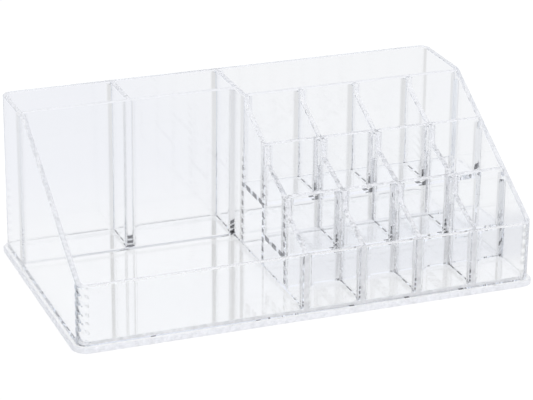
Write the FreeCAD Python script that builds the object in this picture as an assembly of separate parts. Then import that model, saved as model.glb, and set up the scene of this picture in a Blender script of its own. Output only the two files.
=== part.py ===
import FreeCAD, Part
import math
import os

from FreeCAD import Vector

# Clear desk-top organizer for cosmetics, cemented together from panels of clear acrylic sheet.
# Millimetres. The origin is under the middle of the base plate, X runs to the right along the
# front, the low front wall faces -Y and Z is up.

# Points of an outline closer than this are one point
coincidence = 0.001

# How far a cutting shape reaches beyond what it cuts
overrun = 1.0

# Sheet stock
wall_sheet = 2.5
base_sheet = 2.5
floor_sheet = 1.5
tier_sheet = 2.5

# Ring of outer walls
ring_width = 219.0
ring_depth = 123.0
bend_radius = 5.0
rim_level = 79.3
front_height = 31.0
shoulder_depth = 38.0
shoulder_round = 6.0
toe_round = 6.0

# Base plate
flange = 2.1
base_edge_break = 0.7

# Floor panel
floor_corner_relief = 1.0

# Stepped lipstick pockets
pocket_columns = 4
pocket_rows = 3
pocket_width = 25.2
pocket_length = 24.6
pocket_depth = 44.5
tier_rise = 15.8

# Scalloped tops of the partition and of the pocket dividers
crest_lead = 2.6
scallop_drop = 8.0
rear_scallop_drop = 4.6
scallop_fillet = 2.6
crest_round = 0.9

# Tall bins
tall_bin_count = 2
tall_bin_depth = 25.5

# Bevels along the top edges
rim_bevel = 0.4

# Concave strips in the upright inner corners and along the feet of the full-height walls
fillet_leg = 2.4
foot_fillet_leg = 0.7
fillet_bow_share = 0.34
fillet_stop = 0.9

# Half laps of the pocket dividers and the cross walls
lap_clearance = 0.1
lap_height_share = 0.5

# Levels
floor_level = base_sheet + floor_sheet
tier_levels = [floor_level + tier_rise * row for row in range(pocket_rows)]
crest_levels = [level + pocket_depth for level in tier_levels[:-1]] + [rim_level]

# Faces of the outer walls
left_outer = -ring_width / 2
left_inner = left_outer + wall_sheet
right_inner = -left_inner
front_outer = -ring_depth / 2
front_inner = front_outer + wall_sheet
rear_outer = ring_depth / 2
rear_inner = rear_outer - wall_sheet

# Front faces of the walls behind each row of pockets, from the front row to the rear row
row_pitch = pocket_length + wall_sheet
row_wall_fronts = [front_inner + pocket_length + row_pitch * row for row in range(pocket_rows)]
slot_wall_front = row_wall_fronts[-1]
slot_wall_back = slot_wall_front + wall_sheet

# Left faces of the pocket dividers, and the partition to the left of them
column_pitch = pocket_width + wall_sheet
partition_left = right_inner - column_pitch * pocket_columns
partition_right = partition_left + wall_sheet
divider_lefts = [partition_left + column_pitch * column for column in range(1, pocket_columns)]

# Tall bins behind the tray
tall_wall_back = rear_inner - tall_bin_depth
tall_wall_front = tall_wall_back - wall_sheet
tall_bin_width = (partition_left - left_inner - wall_sheet * (tall_bin_count - 1)) / tall_bin_count


def rounded_face(corners):
    """A flat face of straight runs between corners, each with a radius that its runs can hold."""
    edges = []
    joints = []
    count = len(corners)
    for index, (point, radius) in enumerate(corners):
        if radius <= 0:
            joints.append((point, None, point))
            continue
        runs = []
        for neighbour, neighbour_radius in (corners[index - 1], corners[(index + 1) % count]):
            run = (neighbour - point).Length
            runs.append(run / 2 if neighbour_radius > 0 else run)
        before = (corners[index - 1][0] - point).normalize()
        after = (corners[(index + 1) % count][0] - point).normalize()
        half_turn = before.getAngle(after) / 2
        radius = min(radius, min(runs) * math.tan(half_turn))
        start = point + before * (radius / math.tan(half_turn))
        end = point + after * (radius / math.tan(half_turn))
        inward = (before + after).normalize()
        middle = point + inward * (radius / math.sin(half_turn) - radius)
        joints.append((start, middle, end))
    for index, (start, middle, end) in enumerate(joints):
        if middle is not None:
            edges.append(Part.Arc(start, middle, end).toShape())
        following = joints[(index + 1) % count][0]
        if not end.isEqual(following, coincidence):
            edges.append(Part.LineSegment(end, following).toShape())
    return Part.Face(Part.Wire(edges))


def lies_along_x(edge):
    """True for an edge that runs straight across the organizer."""
    return max(edge.BoundBox.YLength, edge.BoundBox.ZLength) < coincidence


def panel(x0, x1, y0, y1, z0, z1):
    """A flat panel between three pairs of faces."""
    return Part.makeBox(x1 - x0, y1 - y0, z1 - z0, Vector(x0, y0, z0))


def wide_wall(x0, x1, y0, z0, z1):
    """A flat wall across the organizer, with the long edges of its top bevelled."""
    wall = panel(x0, x1, y0, y0 + wall_sheet, z0, z1)
    rims = [edge for edge in wall.Edges if lies_along_x(edge) and edge.BoundBox.ZMin > z0]
    return wall.makeChamfer(rim_bevel, rims)


def rounded_plate(width, depth, radius, z0, thickness):
    """A level plate centred on the origin, with rounded corners in plan."""
    x, y = width / 2, depth / 2
    corners = [Vector(-x, -y, z0), Vector(x, -y, z0), Vector(x, y, z0), Vector(-x, y, z0)]
    return rounded_face([(corner, radius) for corner in corners]).extrude(Vector(0, 0, thickness))


def make_base_plate():
    """The plate that everything stands on, with a narrow flange round the walls."""
    width = ring_width + 2 * flange
    depth = ring_depth + 2 * flange
    plate = rounded_plate(width, depth, bend_radius + flange, 0, base_sheet)
    top_edges = [edge for edge in plate.Edges if edge.BoundBox.ZMin > base_sheet / 2]
    return plate.makeChamfer(base_edge_break, top_edges)


def make_floor_panel():
    """The inner floor, which the ring of outer walls is located round."""
    radius = bend_radius - wall_sheet + floor_corner_relief
    return rounded_plate(2 * right_inner, 2 * rear_inner, radius, base_sheet, floor_sheet)


def make_left_side_wall():
    """A side wall with both ends bent round the corners and its top cut down to the front."""
    tangent = left_outer + bend_radius
    outer = [Vector(tangent, front_outer), Vector(left_outer, front_outer)]
    outer += [Vector(left_outer, rear_outer), Vector(tangent, rear_outer)]
    inner = [Vector(tangent, rear_inner), Vector(left_inner, rear_inner)]
    inner += [Vector(left_inner, front_inner), Vector(tangent, front_inner)]
    inner_radius = bend_radius - wall_sheet
    radii = [0, bend_radius, bend_radius, 0, 0, inner_radius, inner_radius, 0]
    plan = rounded_face(list(zip(outer + inner, radii)))
    plan.translate(Vector(0, 0, base_sheet))
    bent_sheet = plan.extrude(Vector(0, 0, rim_level - base_sheet))

    shoulder = rear_outer - shoulder_depth
    outline = [
        (Vector(left_outer, front_outer, base_sheet), 0),
        (Vector(left_outer, front_outer, front_height), 0),
        (Vector(left_outer, front_inner, front_height), toe_round),
        (Vector(left_outer, shoulder, rim_level), shoulder_round),
        (Vector(left_outer, rear_outer, rim_level), 0),
        (Vector(left_outer, rear_outer, base_sheet), 0),
    ]
    wall = bent_sheet.common(rounded_face(outline).extrude(Vector(bend_radius, 0, 0)))
    rims = []
    for edge in wall.Edges:
        box = edge.BoundBox
        is_upright = max(box.XLength, box.YLength) < coincidence
        is_end = box.XMin > tangent - coincidence
        if box.ZMin > base_sheet + coincidence and not (is_upright or is_end or lies_along_x(edge)):
            rims.append(edge)
    return wall.makeChamfer(rim_bevel, rims)


def side_wall_top(y):
    """Height of the side walls' tops, apart from their rounds."""
    shoulder = rear_outer - shoulder_depth
    slope_share = (y - front_inner) / (shoulder - front_inner)
    return front_height + (rim_level - front_height) * min(max(slope_share, 0), 1)


def scallop_corners(x):
    """Top outline from the slot wall down to the front wall, one scallop for each row."""
    corners = []
    rear_row = pocket_rows - 1
    for row in range(rear_row, -1, -1):
        crest_end = row_wall_fronts[row] - crest_lead
        drop = rear_scallop_drop if row == rear_row else scallop_drop
        landing_level = front_height
        landing = front_inner
        if row > 0:
            landing_level = crest_levels[row - 1]
            landing = row_wall_fronts[row - 1] + wall_sheet
        corners.append((Vector(x, crest_end, crest_levels[row]), crest_round))
        corners.append((Vector(x, crest_end, crest_levels[row] - drop), scallop_fillet))
        corners.append((Vector(x, landing, landing_level), 0))
    return corners


def make_scalloped_panel(x, back):
    """An upright from the front wall to a face behind, with a scalloped and bevelled top."""
    outline = [
        (Vector(x, front_inner, floor_level), 0),
        (Vector(x, back, floor_level), 0),
        (Vector(x, back, rim_level), 0),
    ]
    outline += scallop_corners(x)
    upright = rounded_face(outline).extrude(Vector(wall_sheet, 0, 0))
    rims = []
    for edge in upright.Edges:
        box = edge.BoundBox
        is_across = box.XLength > coincidence
        is_foot = box.ZMax < floor_level + coincidence
        is_end = box.YMax < front_inner + coincidence or box.YMin > back - coincidence
        if not (is_across or is_foot or is_end):
            rims.append(edge)
    return upright.makeChamfer(rim_bevel, rims)


def lap_level(row):
    """Height at which a divider and the wall behind a row are halved into each other."""
    return tier_levels[row + 1] + (crest_levels[row] - tier_levels[row + 1]) * lap_height_share


def make_pocket_divider(x):
    """A divider that steps down over the tiers and is halved over the cross walls."""
    left = x - overrun
    right = x + wall_sheet + overrun
    below = floor_level - overrun
    behind = slot_wall_front + overrun
    steps = []
    for row in range(pocket_rows - 1):
        lap_front = row_wall_fronts[row] - lap_clearance
        lap_back = row_wall_fronts[row] + wall_sheet + lap_clearance
        steps.append(panel(left, right, lap_front, lap_back, below, lap_level(row) + lap_clearance))
        steps.append(panel(left, right, lap_back, behind, below, tier_levels[row + 1]))
    return make_scalloped_panel(x, slot_wall_front).cut(steps)


def make_cross_wall(row):
    """The wall behind a row of pockets, slotted from above for the dividers."""
    y = row_wall_fronts[row]
    crest_level = crest_levels[row]
    outline = [Vector(right_inner, y, floor_level), Vector(partition_right, y, floor_level)]
    outline.append(Vector(partition_right, y, crest_level))
    for x in divider_lefts:
        slot_left = x - lap_clearance
        slot_right = x + wall_sheet + lap_clearance
        outline.append(Vector(slot_left, y, crest_level))
        outline.append(Vector(slot_left, y, lap_level(row)))
        outline.append(Vector(slot_right, y, lap_level(row)))
        outline.append(Vector(slot_right, y, crest_level))
    outline.append(Vector(right_inner, y, crest_level))
    wall = rounded_face([(point, 0) for point in outline]).extrude(Vector(0, wall_sheet, 0))
    rims = []
    for edge in wall.Edges:
        if lies_along_x(edge) and edge.BoundBox.ZMin > crest_level - coincidence:
            rims.append(edge)
    return wall.makeChamfer(rim_bevel, rims)


def make_tier_floor(row):
    """The raised floor of a row of pockets."""
    front = row_wall_fronts[row - 1] + wall_sheet
    back = row_wall_fronts[row]
    level = tier_levels[row]
    return panel(partition_right, right_inner, front, back, level - tier_sheet, level)


def make_tall_bin_divider(index):
    """An upright between two tall bins."""
    x = left_inner + tall_bin_width * index + wall_sheet * (index - 1)
    divider = panel(x, x + wall_sheet, tall_wall_back, rear_inner, floor_level, rim_level)
    rims = []
    for edge in divider.Edges:
        box = edge.BoundBox
        if box.ZMin > floor_level + coincidence and box.YLength > coincidence:
            rims.append(edge)
    return divider.makeChamfer(rim_bevel, rims)


def compartments():
    """Every compartment: its kind, plan from left to right and front to back, floor and two rims."""
    spaces = []
    for index in range(tall_bin_count):
        left = left_inner + (tall_bin_width + wall_sheet) * index
        plan = (left, left + tall_bin_width, tall_wall_back, rear_inner)
        spaces.append(("tall_bin", plan, floor_level, rim_level, rim_level))
    plan = (left_inner, partition_left, front_inner, tall_wall_front)
    spaces.append(("tray", plan, floor_level, front_height, rim_level))
    plan = (partition_right, right_inner, slot_wall_back, rear_inner)
    spaces.append(("slot", plan, floor_level, rim_level, rim_level))
    rims = [front_height] + crest_levels
    for row in range(pocket_rows):
        front = front_inner + row_pitch * row
        for column in range(pocket_columns):
            left = partition_right + column_pitch * column
            plan = (left, left + pocket_width, front, front + pocket_length)
            spaces.append(("pocket_row_%d" % (row + 1), plan, tier_levels[row], rims[row], rims[row + 1]))
    return spaces


def make_fillet(corner, first_leg, second_leg, run):
    """A concave strip along the corner of two faces, with a leg on each of them."""
    first_end = corner + first_leg
    second_end = corner + second_leg
    bow = corner + (first_leg + second_leg) * fillet_bow_share
    edges = [
        Part.LineSegment(corner, first_end).toShape(),
        Part.Arc(first_end, bow, second_end).toShape(),
        Part.LineSegment(second_end, corner).toShape(),
    ]
    return Part.Face(Part.Wire(edges)).extrude(run)


def is_at_side(x):
    """True for the inner face of a side wall."""
    return abs(x) > right_inner - coincidence


def is_bent_corner(x, y):
    """True for an inner corner that a side wall is bent round."""
    return is_at_side(x) and abs(y) > rear_inner - coincidence


def make_upright_fillets(plan, floor, front_rim, rear_rim):
    """The strips that stand in a compartment's corners. The bent corners have none."""
    left, right, front, back = plan
    strips = []
    for x, x_way in ((left, 1), (right, -1)):
        for y, y_way, rim in ((front, 1, front_rim), (back, -1, rear_rim)):
            if is_bent_corner(x, y):
                continue
            if is_at_side(x):
                rim = min(rim, side_wall_top(min(y, y + fillet_leg * y_way)))
            x_leg = Vector(fillet_leg * x_way, 0, 0)
            y_leg = Vector(0, fillet_leg * y_way, 0)
            rise = Vector(0, 0, rim - fillet_stop - floor)
            strips.append(make_fillet(Vector(x, y, floor), x_leg, y_leg, rise))
    return strips


def foot_fillet_start(x, y):
    """How far from a compartment's corner the strips along the feet start."""
    bend_run = bend_radius - wall_sheet + floor_corner_relief
    return bend_run if is_bent_corner(x, y) else fillet_leg


def make_foot_fillets(plan, floor, front_rim, rear_rim):
    """The strips along the feet of a compartment's full-height walls, between its corners."""
    left, right, front, back = plan
    up_leg = Vector(0, 0, foot_fillet_leg)
    strips = []
    for y, y_way, rim in ((front, 1, front_rim), (back, -1, rear_rim)):
        if rim < rim_level - coincidence:
            continue
        start = Vector(left + foot_fillet_start(left, y), y, floor)
        end = Vector(right - foot_fillet_start(right, y), y, floor)
        strips.append(make_fillet(start, Vector(0, foot_fillet_leg * y_way, 0), up_leg, end - start))
    return strips


def make_corner_fillets():
    """The strips in the corners of each kind of compartment, upright and along the feet."""
    groups = {}
    for kind, plan, floor, front_rim, rear_rim in compartments():
        strips = groups.setdefault(kind + "_corner_fillets", [])
        strips += make_upright_fillets(plan, floor, front_rim, rear_rim)
        strips += make_foot_fillets(plan, floor, front_rim, rear_rim)
    return groups


def imprinted(groups):
    """The same solids by node, with each cemented patch split off as a face of its own."""
    solids = [solid for group in groups.values() for solid in group]
    images = iter(solids[0].generalFuse(solids[1:])[1])
    nodes = {}
    for name, group in groups.items():
        pieces = [next(images)[0] for _ in group]
        nodes[name] = pieces[0] if len(pieces) == 1 else Part.Compound(pieces)
    return nodes


def make_all():
    """Every piece by the name of its node."""
    bend_left = left_outer + bend_radius
    bend_right = -bend_left
    left_side_wall = make_left_side_wall()
    panels = {
        "base_plate": make_base_plate(),
        "floor_panel": make_floor_panel(),
        "left_side_wall": left_side_wall,
        "right_side_wall": left_side_wall.mirror(Vector(0, 0, 0), Vector(1, 0, 0)),
        "rear_wall": wide_wall(bend_left, bend_right, rear_inner, base_sheet, rim_level),
        "front_wall": wide_wall(bend_left, bend_right, front_outer, base_sheet, front_height),
        "centre_partition": make_scalloped_panel(partition_left, rear_inner),
        "tall_bin_front_wall": wide_wall(
            left_inner, partition_left, tall_wall_front, floor_level, rim_level
        ),
        "slot_front_wall": wide_wall(
            partition_right, right_inner, slot_wall_front, floor_level, rim_level
        ),
    }
    for index in range(1, tall_bin_count):
        panels["tall_bin_divider_%d" % index] = make_tall_bin_divider(index)
    for row in range(pocket_rows - 1):
        panels["cross_wall_%d" % (row + 1)] = make_cross_wall(row)
    for row in range(1, pocket_rows):
        panels["tier_floor_%d" % row] = make_tier_floor(row)
    for index, x in enumerate(divider_lefts):
        panels["pocket_divider_%d" % (index + 1)] = make_pocket_divider(x)
    groups = {name: [shape.Solids[0]] for name, shape in panels.items()}
    groups.update(make_corner_fillets())
    return imprinted(groups)


os.makedirs("parts", exist_ok=True)
for name, shape in make_all().items():
    shape.exportStep("parts/%s.step" % name)
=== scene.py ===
import math

import bpy
from mathutils import Matrix, Vector
from mathutils.bvhtree import BVHTree


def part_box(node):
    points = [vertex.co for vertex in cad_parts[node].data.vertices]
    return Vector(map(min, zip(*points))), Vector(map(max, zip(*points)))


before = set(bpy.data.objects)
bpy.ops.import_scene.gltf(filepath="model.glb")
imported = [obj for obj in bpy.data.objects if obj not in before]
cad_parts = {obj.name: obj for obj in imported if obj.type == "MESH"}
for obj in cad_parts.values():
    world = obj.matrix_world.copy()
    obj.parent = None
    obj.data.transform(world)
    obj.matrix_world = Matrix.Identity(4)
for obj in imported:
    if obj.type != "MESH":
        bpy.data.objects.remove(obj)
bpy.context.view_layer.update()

# Clear acrylic organizer for cosmetics on a white sweep. Metres, in the part's own frame.

white = (1.0, 1.0, 1.0, 1.0)

# Camera
camera_place = Vector((-0.35831, -0.92411, 0.43648))
camera_azimuth = math.radians(-21.246)
camera_elevation = math.radians(22.124)
camera_roll = math.radians(0.685)
camera_lens = 154.22
camera_sensor = 36.0
camera_near = 0.01
camera_far = 100.0
light_bounces = 256

# Noise
plain_detail = 2.0
plain_stretch = (1.0, 1.0, 1.0)
mottle_range = (0.35, 0.65)

# The wave texture turns by this many radians in a metre, at a scale of 1
wave_rate = 20.0

# Acrylic sheet
acrylic_ior = 1.49
through_tint = (0.998, 0.999, 1.0, 1.0)
mirror_tint = (0.998, 0.999, 1.0, 1.0)
shadow_tint = (0.965, 0.97, 0.975, 1.0)
sheet_wave_scale = 45.0
sheet_wave_height = 0.000004
sheet_roughness = 0.0
smudge_scale = 18.0
smudge_detail = 5.0
smudge_range = (0.5, 0.8)
smudge_roughness = 0.012

# Cut edges of the sheet
edge_tint = (0.97, 0.97, 0.975, 1.0)
edge_wave_scale = 330.0
edge_wave_height = 0.000015
edge_roughness = 0.22
edge_matte_colour = (0.97, 0.972, 0.985, 1.0)
divider_edge_matte_shares = (0.2, 0.9)
side_edge_matte_shares = (0.45, 0.65)
wall_edge_matte_shares = (0.75, 0.9)
outer_edge_matte_shares = (0.1, 0.45)
base_edge_matte_shares = (0.7, 0.9)

# Corner strips
strip_wave_scale = 800.0
strip_wave_height = 0.00004

# Ripples in the bends
ripple_scale = 100.0
ripple_stretch = (1.0, -1.0, 1.5)
ripple_unevenness = 1.5
ripple_height = 0.00016
ripple_foot = 0.025
ripple_end = 0.045

# Clear cement, with faint streaks
cement_clear = white
cement_streak = (0.985, 0.985, 0.988, 1.0)
cement_streak_scale = 160.0
cement_streak_detail = 3.0
cement_streak_stretch = (1.0, 1.0, 0.15)
foot_cement = (0.92, 0.92, 0.925, 1.0)

# Cloudy cement at the front wall
cloud_colour = white
cloud_shares = (0.7, 1.0)
cloud_roughness = 0.5
cloud_scale = 220.0

# Bubbles in the cement under the uprights and at the tier floors' ends
bubble_dark = (0.30, 0.30, 0.31, 1.0)
bubble_run = 0.0083
bubble_unevenness = 2.2
bubble_detail = 1.0
bubble_range = (0.2, 0.4)
bubbles_begin = 0.003
bubbles_are_full = 0.006
bubble_gap_front = 0.014
bubble_gap_back = 0.008
bubble_gap_softness = 0.003

# Bubbles in the cement at the ends of the walls against the partition
wall_end_bubble_dark = (0.45, 0.45, 0.46, 1.0)
wall_end_bubble_run = 0.0045
wall_end_bubble_range = (0.4, 0.6)
wall_end_bubbles_thin = 0.036
wall_end_bubbles_stop = 0.056

# Telling the faces apart
probe_depth = 0.00003
flat_cosine = 0.999
level_cosine = 0.9
least_slope = 0.05

# Room, as directions
side_begins = 0.44
side_is_full = 0.60
side_front = -0.10
side_front_is_full = 0.10
side_foot = 0.15
side_foot_is_full = 0.22
side_top_is_full = 0.48
side_top = 0.56
ceiling_begins = 0.70
ceiling_is_full = 0.82
room_colour = (0.93, 0.945, 1.0, 1.0)
side_colour = (0.05, 0.05, 0.055, 1.0)
ceiling_colour = white

# Floor. Seen through the part it glows with painted shade: darker in front and far back on the left, with a
# painted shadow under the tiers
floor_size = 12.0
floor_gap = 0.0003
floor_front = -0.10
floor_back = -0.06
floor_far_begins = 0.03
floor_far = 0.16
floor_right = 0.10
floor_left = -0.02
tier_shade_softness = 0.012
floor_colour = (0.99, 0.995, 1.0, 1.0)
# painted shade and painted shadow on the floor seen through the part: in front, far back on the left and
# under the tiers
floor_front_painted_shade_colour = (0.85, 0.86, 0.89, 1.0)
floor_far_left_painted_shade_colour = (0.93, 0.94, 0.98, 1.0)
floor_tier_shade_colour = (0.825, 0.835, 0.865, 1.0)
floor_paper_colour = (0.15, 0.15, 0.15, 1.0)
floor_seen_glow = 0.90
floor_gloss_ior = 2.1
floor_gloss_roughness = 0.05


def new_material(name):
    """An empty node material, with its output node."""
    material = bpy.data.materials.new(name)
    material.use_nodes = True
    tree = material.node_tree
    tree.nodes.clear()
    output = tree.nodes.new("ShaderNodeOutputMaterial")
    return material, tree, output


def place_of(tree):
    """A socket with the part's own coordinates."""
    return tree.nodes.new("ShaderNodeTexCoord").outputs["Object"]


def stretched_of(tree, stretch):
    """A socket with the part's own coordinates, stretched."""
    mapping = tree.nodes.new("ShaderNodeMapping")
    mapping.inputs["Scale"].default_value = stretch
    tree.links.new(place_of(tree), mapping.inputs["Vector"])
    return mapping.outputs["Vector"]


def split_of(tree, vector):
    """The outputs X, Y and Z of a vector's socket."""
    split = tree.nodes.new("ShaderNodeSeparateXYZ")
    tree.links.new(vector, split.inputs["Vector"])
    return split.outputs


def noise_of(tree, scale, detail=plain_detail, stretch=plain_stretch):
    """A socket with noise over the part's own coordinates."""
    noise = tree.nodes.new("ShaderNodeTexNoise")
    noise.inputs["Scale"].default_value = scale
    noise.inputs["Detail"].default_value = detail
    tree.links.new(stretched_of(tree, stretch), noise.inputs["Vector"])
    return noise.outputs["Fac"]


def range_of(tree, socket, source, target):
    """A socket that takes a range of values evenly to another."""
    node = tree.nodes.new("ShaderNodeMapRange")
    node.inputs["From Min"].default_value, node.inputs["From Max"].default_value = source
    node.inputs["To Min"].default_value, node.inputs["To Max"].default_value = target
    tree.links.new(socket, node.inputs["Value"])
    return node.outputs["Result"]


def fade_of(tree, socket, start, end):
    """A socket that goes smoothly from 0 at the start to 1 at the end."""
    fade = tree.nodes.new("ShaderNodeMapRange")
    fade.interpolation_type = "SMOOTHSTEP"
    fade.inputs["From Min"].default_value = start
    fade.inputs["From Max"].default_value = end
    tree.links.new(socket, fade.inputs["Value"])
    return fade.outputs["Result"]


def math_of(tree, operation, *sockets):
    """A socket with the result of one sum."""
    node = tree.nodes.new("ShaderNodeMath")
    node.operation = operation
    for index, socket in enumerate(sockets):
        tree.links.new(socket, node.inputs[index])
    return node.outputs["Value"]


def product_of(tree, first, *others):
    """A socket with the product of several."""
    for other in others:
        first = math_of(tree, "MULTIPLY", first, other)
    return first


def colours_of(tree, factor, first, second):
    """A socket that goes from one colour to another. Each is a colour or a socket."""
    mix = tree.nodes.new("ShaderNodeMix")
    mix.data_type = "RGBA"
    tree.links.new(factor, mix.inputs["Factor"])
    for name, colour in (("A", first), ("B", second)):
        if isinstance(colour, tuple):
            mix.inputs[name].default_value = colour
        else:
            tree.links.new(colour, mix.inputs[name])
    return mix.outputs["Result"]


def shaders_of(tree, factor, first, second):
    """A socket with two shaders mixed."""
    mix = tree.nodes.new("ShaderNodeMixShader")
    tree.links.new(factor, mix.inputs["Fac"])
    tree.links.new(first, mix.inputs[1])
    tree.links.new(second, mix.inputs[2])
    return mix.outputs["Shader"]


def wave_of(tree, direction, run, unevenness):
    """A socket with uneven waves along one axis, a run apart."""
    wave = tree.nodes.new("ShaderNodeTexWave")
    wave.bands_direction = direction
    wave.inputs["Scale"].default_value = 2 * math.pi / wave_rate / run
    wave.inputs["Distortion"].default_value = unevenness
    wave.inputs["Detail"].default_value = bubble_detail
    tree.links.new(place_of(tree), wave.inputs["Vector"])
    return wave.outputs["Fac"]


def ripple_of(tree):
    """A socket with the ripples that bending leaves, aslant round the bend and gone higher up."""
    wave = tree.nodes.new("ShaderNodeTexWave")
    wave.bands_direction = "DIAGONAL"
    wave.inputs["Scale"].default_value = ripple_scale
    wave.inputs["Distortion"].default_value = ripple_unevenness
    tree.links.new(stretched_of(tree, ripple_stretch), wave.inputs["Vector"])
    low = fade_of(tree, split_of(tree, place_of(tree))["Z"], ripple_end, ripple_foot)
    return product_of(tree, wave.outputs["Fac"], low)


def make_acrylic(name, tint, roughness, wave_height, make_wave):
    """Clear acrylic that bends and mirrors light, with its node tree, output node and shader."""
    material, tree, output = new_material(name)
    bump = tree.nodes.new("ShaderNodeBump")
    bump.inputs["Strength"].default_value = 1.0
    bump.inputs["Distance"].default_value = wave_height
    tree.links.new(make_wave(tree), bump.inputs["Height"])
    smudge = noise_of(tree, smudge_scale, smudge_detail)
    through = tree.nodes.new("ShaderNodeBsdfRefraction")
    through.inputs["Color"].default_value = tint
    through.inputs["IOR"].default_value = acrylic_ior
    through.inputs["Roughness"].default_value = roughness
    mirror = tree.nodes.new("ShaderNodeBsdfGlossy")
    mirror.inputs["Color"].default_value = mirror_tint
    tree.links.new(
        range_of(tree, smudge, smudge_range, (roughness, roughness + smudge_roughness)),
        mirror.inputs["Roughness"],
    )
    fresnel = tree.nodes.new("ShaderNodeFresnel")
    fresnel.inputs["IOR"].default_value = acrylic_ior
    for node in (through, mirror, fresnel):
        tree.links.new(bump.outputs["Normal"], node.inputs["Normal"])
    shader = shaders_of(tree, fresnel.outputs["Fac"], through.outputs["BSDF"], mirror.outputs["BSDF"])
    return material, tree, output, shader


def pass_lamp_light(tree, shader, output):
    """Sends a shader to the output, clear to the rays that look for a lamp."""
    path = tree.nodes.new("ShaderNodeLightPath")
    clear = tree.nodes.new("ShaderNodeBsdfTransparent")
    clear.inputs["Color"].default_value = shadow_tint
    mix = shaders_of(tree, path.outputs["Is Shadow Ray"], shader, clear.outputs["BSDF"])
    tree.links.new(mix, output.inputs["Surface"])


def make_face(name, wave_height, make_wave):
    """A polished face of clear acrylic with its own unevenness."""
    material, tree, output, shader = make_acrylic(
        name, through_tint, sheet_roughness, wave_height, make_wave)
    pass_lamp_light(tree, shader, output)
    return material


def make_sheet():
    """The polished face of the sheet, very slightly wavy and smudged."""
    return make_face(
        "clear_acrylic_sheet", sheet_wave_height, lambda tree: noise_of(tree, sheet_wave_scale))


def make_bend():
    """The face of the sheet where it is bent, rippled by the heat."""
    return make_face("clear_acrylic_bend", ripple_height, ripple_of)


def make_strip():
    """The uneven face of the strips in the corners."""
    return make_face(
        "clear_acrylic_strip", strip_wave_height, lambda tree: noise_of(tree, strip_wave_scale))


def make_edge(name, matte_shares):
    """The cut edge of the sheet: scraped satin, mottled by the cutter."""
    material, tree, output, shader = make_acrylic(
        name, edge_tint, edge_roughness, edge_wave_height, lambda tree: noise_of(tree, edge_wave_scale))
    share = range_of(tree, noise_of(tree, edge_wave_scale), mottle_range, matte_shares)
    matte = tree.nodes.new("ShaderNodeBsdfDiffuse")
    matte.inputs["Color"].default_value = edge_matte_colour
    pass_lamp_light(tree, shaders_of(tree, share, shader, matte.outputs["BSDF"]), output)
    return material


def make_clear_cement(name, tint_of):
    """The cemented face of two panels, where light goes straight on and takes a tint."""
    material, tree, output = new_material(name)
    clear = tree.nodes.new("ShaderNodeBsdfTransparent")
    tree.links.new(tint_of(tree), clear.inputs["Color"])
    tree.links.new(clear.outputs["BSDF"], output.inputs["Surface"])
    return material


def make_cement(name, clear_tint, streak_tint):
    """Cement with faint streaks."""
    def tint_of(tree):
        streaks = noise_of(tree, cement_streak_scale, cement_streak_detail, cement_streak_stretch)
        return colours_of(tree, streaks, clear_tint, streak_tint)
    return make_clear_cement(name, tint_of)


def make_bubbly_cement(name, gap=None):
    """Cement with long trapped bubbles that look dark, none close to the front wall or in the gap."""
    wall_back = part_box("front_wall")[1][1]

    def tint_of(tree):
        bubbles = fade_of(tree, wave_of(tree, "Y", bubble_run, bubble_unevenness), *bubble_range)
        along = split_of(tree, place_of(tree))["Y"]
        inner = fade_of(tree, along, wall_back + bubbles_begin, wall_back + bubbles_are_full)
        bubbles = product_of(tree, bubbles, inner)
        if gap:
            before = fade_of(tree, along, gap[0], gap[0] - bubble_gap_softness)
            after = fade_of(tree, along, gap[1], gap[1] + bubble_gap_softness)
            bubbles = product_of(tree, bubbles, math_of(tree, "ADD", before, after))
        return colours_of(tree, bubbles, cement_clear, bubble_dark)
    return make_clear_cement(name, tint_of)


def make_wall_end_cement():
    """Cement at the ends of the walls against the partition, with bubbles one above the other."""
    def tint_of(tree):
        wave = wave_of(tree, "Z", wall_end_bubble_run, bubble_unevenness)
        bubbles = fade_of(tree, wave, *wall_end_bubble_range)
        height = split_of(tree, place_of(tree))["Z"]
        low = fade_of(tree, height, wall_end_bubbles_stop, wall_end_bubbles_thin)
        return colours_of(tree, product_of(tree, bubbles, low), cement_clear, wall_end_bubble_dark)
    return make_clear_cement("cement_at_wall_ends", tint_of)


def make_cloudy_cement():
    """Cement that dried cloudy against the front wall."""
    material, tree, output = new_material("cement_cloudy")
    share = range_of(tree, noise_of(tree, cloud_scale), mottle_range, cloud_shares)
    clear = tree.nodes.new("ShaderNodeBsdfTransparent")
    cloud = tree.nodes.new("ShaderNodeBsdfGlossy")
    cloud.inputs["Color"].default_value = cloud_colour
    cloud.inputs["Roughness"].default_value = cloud_roughness
    pass_lamp_light(tree, shaders_of(tree, share, clear.outputs["BSDF"], cloud.outputs["BSDF"]), output)
    return material


def make_finishes():
    """Every finish by its name here."""
    tray_gap = (
        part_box("front_wall")[1][1] + bubble_gap_front,
        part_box("tall_bin_front_wall")[0][1] - bubble_gap_back,
    )
    return {
        "sheet": make_sheet(),
        "bend": make_bend(),
        "strip": make_strip(),
        "divider_edge": make_edge("clear_acrylic_divider_edge", divider_edge_matte_shares),
        "side_edge": make_edge("clear_acrylic_side_edge", side_edge_matte_shares),
        "wall_edge": make_edge("clear_acrylic_wall_edge", wall_edge_matte_shares),
        "outer_edge": make_edge("clear_acrylic_outer_edge", outer_edge_matte_shares),
        "base_edge": make_edge("clear_acrylic_base_edge", base_edge_matte_shares),
        "cement": make_cement("cement", cement_clear, cement_streak),
        "foot": make_cement("cement_foot", foot_cement, cement_clear),
        "bubbly": make_bubbly_cement("cement_bubbly"),
        "under_partition": make_bubbly_cement("cement_under_partition", tray_gap),
        "cloudy": make_cloudy_cement(),
        "wall_end": make_wall_end_cement(),
    }


def is_divider(name):
    """True for the partition and for a divider of bins or pockets."""
    return "divider" in name or "partition" in name


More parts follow.
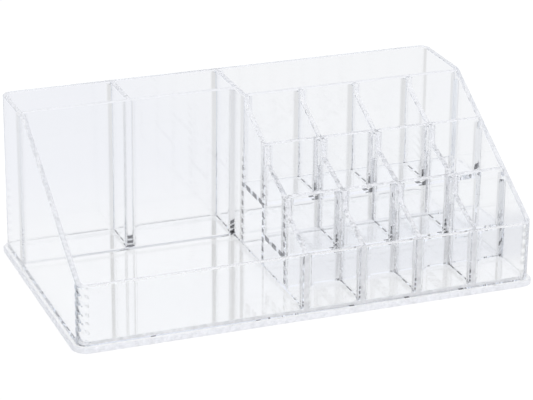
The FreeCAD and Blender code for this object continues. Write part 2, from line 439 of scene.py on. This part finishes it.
def sheet_axis(name):
    """The axis across a flat panel's sheet, or none for a bent wall or a corner strip."""
    if name.endswith(("corner_fillets", "side_wall")):
        return None
    low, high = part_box(name)
    sizes = [high[i] - low[i] for i in range(3)]
    return sizes.index(min(sizes))


def is_cut_edge(name, axis, face):
    """True for a face that was cut through the sheet."""
    if name.endswith("side_wall"):
        return abs(face.normal.z) > least_slope
    return axis is not None and abs(face.normal[axis]) < level_cosine


def cut_finish(name):
    """The finish of a panel's cut edges."""
    if name == "base_plate":
        return "base_edge"
    if name in ("front_wall", "rear_wall"):
        return "outer_edge"
    if name.endswith("side_wall"):
        return "side_edge"
    if is_divider(name) or name.startswith("cross_wall"):
        return "divider_edge"
    return "wall_edge"


def free_finish(name, axis, face):
    """The finish of a face that touches nothing."""
    if is_cut_edge(name, axis, face):
        return cut_finish(name)
    if name.endswith("corner_fillets"):
        return "strip"
    if name.endswith("side_wall") and max(abs(part) for part in face.normal) < flat_cosine:
        return "bend"
    return "sheet"


def cement_finish(name, other, face):
    """The finish of a face that is cemented to another panel. Only one of two such faces is cloudy."""
    pair = (name, other)
    is_level = abs(face.normal.z) > level_cosine
    has_divider = any(is_divider(node) for node in pair)
    has_tier = any(node.startswith("tier_floor") for node in pair)
    has_cross = any(node.startswith(("cross_wall", "slot_front")) for node in pair)
    has_wall = any(node.endswith(("rear_wall", "front_wall")) for node in pair)
    if has_tier and has_divider and not is_level:
        return "bubbly"
    if "front_wall" in pair and has_divider and not is_level:
        return "cement" if name == "front_wall" else "cloudy"
    if "front_wall" in pair and "floor_panel" in pair:
        return "cloudy" if name == "front_wall" else "cement"
    if "centre_partition" in pair and has_cross and not is_level:
        return "wall_end"
    if "centre_partition" in pair and is_level:
        return "under_partition"
    if has_divider and is_level:
        return "bubbly"
    if has_wall and is_level:
        return "foot"
    return "cement"


def search_tree_of(obj):
    """A search tree of a panel's own faces."""
    points = [vertex.co.copy() for vertex in obj.data.vertices]
    return BVHTree.FromPolygons(points, [tuple(face.vertices) for face in obj.data.polygons])


def is_just_inside(tree, box, point):
    """True if a point lies a probe's depth within a closed panel."""
    low, high = box
    if not all(low[i] <= point[i] <= high[i] for i in range(3)):
        return False
    place, normal, _, distance = tree.find_nearest(point)
    return distance < 2 * probe_depth and (point - place).dot(normal) < 0


def dress_panels():
    """Gives every face the finish of the sheet, of its cut edge or of the cement on it."""
    finishes = make_finishes()
    slots = list(finishes)
    trees = {name: search_tree_of(obj) for name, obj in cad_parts.items()}
    boxes = {name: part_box(name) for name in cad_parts}
    for name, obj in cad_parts.items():
        obj.data.materials.clear()
        for finish in finishes.values():
            obj.data.materials.append(finish)
        axis = sheet_axis(name)
        for face in obj.data.polygons:
            finish = free_finish(name, axis, face)
            probe = face.center + face.normal * probe_depth
            for other, tree in trees.items():
                if other != name and is_just_inside(tree, boxes[other], probe):
                    finish = cement_finish(name, other, face)
            face.material_index = slots.index(finish)


def is_seen(tree):
    """A socket that is 1 for the camera's own rays."""
    return tree.nodes.new("ShaderNodeLightPath").outputs["Is Camera Ray"]


def make_world():
    """A pale room with a lit ceiling and dark sides behind the part, plain white to the camera."""
    world = bpy.data.worlds.new("studio")
    bpy.context.scene.world = world
    world.use_nodes = True
    tree = world.node_tree
    tree.nodes.clear()
    output = tree.nodes.new("ShaderNodeOutputWorld")
    way = split_of(tree, tree.nodes.new("ShaderNodeTexCoord").outputs["Generated"])
    dark = product_of(
        tree,
        fade_of(tree, way["Z"], side_foot, side_foot_is_full),
        fade_of(tree, way["Z"], side_top, side_top_is_full),
        fade_of(tree, way["Y"], side_front, side_front_is_full),
        fade_of(tree, math_of(tree, "ABSOLUTE", way["X"]), side_begins, side_is_full),
    )
    high = fade_of(tree, way["Z"], ceiling_begins, ceiling_is_full)
    room = colours_of(tree, high, colours_of(tree, dark, room_colour, side_colour), ceiling_colour)
    back = tree.nodes.new("ShaderNodeBackground")
    tree.links.new(colours_of(tree, is_seen(tree), room, white), back.inputs["Color"])
    tree.links.new(back.outputs["Background"], output.inputs["Surface"])


def painted_floor_shade_of(tree):
    """A socket with the floor's colour through the part, with painted shade: darker in front and far left,
    and a painted shadow under the tiers.
    """
    spot = split_of(tree, tree.nodes.new("ShaderNodeNewGeometry").outputs["Position"])
    low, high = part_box("tier_floor_1")[0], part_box("tier_floor_2")[1]
    soft = tier_shade_softness
    # painted shade far back on the left and in front, and a painted shadow under the tiers
    far_left = product_of(
        tree,
        fade_of(tree, spot["Y"], floor_far_begins, floor_far),
        fade_of(tree, spot["X"], floor_right, floor_left),
    )
    under_tiers = product_of(
        tree,
        fade_of(tree, spot["Y"], low[1] - soft, low[1] + soft),
        fade_of(tree, spot["Y"], high[1] + soft, high[1] - soft),
        fade_of(tree, spot["X"], low[0] - soft, low[0] + soft),
    )
    behind = colours_of(tree, far_left, floor_colour, floor_far_left_painted_shade_colour)
    shaded = colours_of(tree, under_tiers, behind, floor_tier_shade_colour)
    return colours_of(tree, fade_of(tree, spot["Y"], floor_front, floor_back), floor_front_painted_shade_colour, shaded)


def make_floor():
    """The plain pale floor: white to the camera apart from the shadow, glossy through the part and glowing
    there with painted shade and a painted shadow under the tiers.
    """
    low, high = -floor_size / 2, floor_size / 2
    corners = [(low, low), (high, low), (high, high), (low, high)]
    mesh = bpy.data.meshes.new("floor")
    mesh.from_pydata([(x, y, -floor_gap) for x, y in corners], [], [(0, 1, 2, 3)])
    floor = bpy.data.objects.new("floor", mesh)
    bpy.context.scene.collection.objects.link(floor)
    material, tree, output = new_material("floor_paper")
    paper = tree.nodes.new("ShaderNodeBsdfDiffuse")
    paper.inputs["Color"].default_value = floor_paper_colour
    light = tree.nodes.new("ShaderNodeEmission")
    light.inputs["Strength"].default_value = floor_seen_glow
    plain = tree.nodes.new("ShaderNodeAddShader")
    tree.links.new(paper.outputs["BSDF"], plain.inputs[0])
    tree.links.new(light.outputs["Emission"], plain.inputs[1])
    # seen through the part the floor glows with painted shade and takes no shadow
    glow = tree.nodes.new("ShaderNodeEmission")
    tree.links.new(painted_floor_shade_of(tree), glow.inputs["Color"])
    gloss = tree.nodes.new("ShaderNodeBsdfGlossy")
    gloss.inputs["Roughness"].default_value = floor_gloss_roughness
    fresnel = tree.nodes.new("ShaderNodeFresnel")
    fresnel.inputs["IOR"].default_value = floor_gloss_ior
    through = shaders_of(tree, fresnel.outputs["Fac"], glow.outputs["Emission"], gloss.outputs["BSDF"])
    seen = shaders_of(tree, is_seen(tree), through, plain.outputs["Shader"])
    tree.links.new(seen, output.inputs["Surface"])
    mesh.materials.append(material)


def make_camera():
    """The photograph's view."""
    data = bpy.data.cameras.new("camera")
    data.lens = camera_lens
    data.sensor_width = camera_sensor
    data.sensor_fit = "HORIZONTAL"
    data.clip_start = camera_near
    data.clip_end = camera_far
    level = math.cos(camera_elevation)
    forward = Vector((
        -math.sin(camera_azimuth) * level,
        math.cos(camera_azimuth) * level,
        -math.sin(camera_elevation),
    ))
    right = forward.cross(Vector((0, 0, 1))).normalized()
    up = right.cross(forward)
    turned_right = right * math.cos(camera_roll) + up * math.sin(camera_roll)
    turned_up = up * math.cos(camera_roll) - right * math.sin(camera_roll)
    turn = Matrix((turned_right, turned_up, -forward)).transposed()
    camera = bpy.data.objects.new("camera", data)
    camera.matrix_world = Matrix.Translation(camera_place) @ turn.to_4x4()
    bpy.context.scene.collection.objects.link(camera)
    bpy.context.scene.camera = camera


dress_panels()
make_world()
make_floor()
make_camera()

scene = bpy.context.scene
scene.view_settings.view_transform = "Standard"
scene.cycles.max_bounces = light_bounces
scene.cycles.transmission_bounces = light_bounces
scene.cycles.glossy_bounces = light_bounces
scene.cycles.transparent_max_bounces = light_bounces
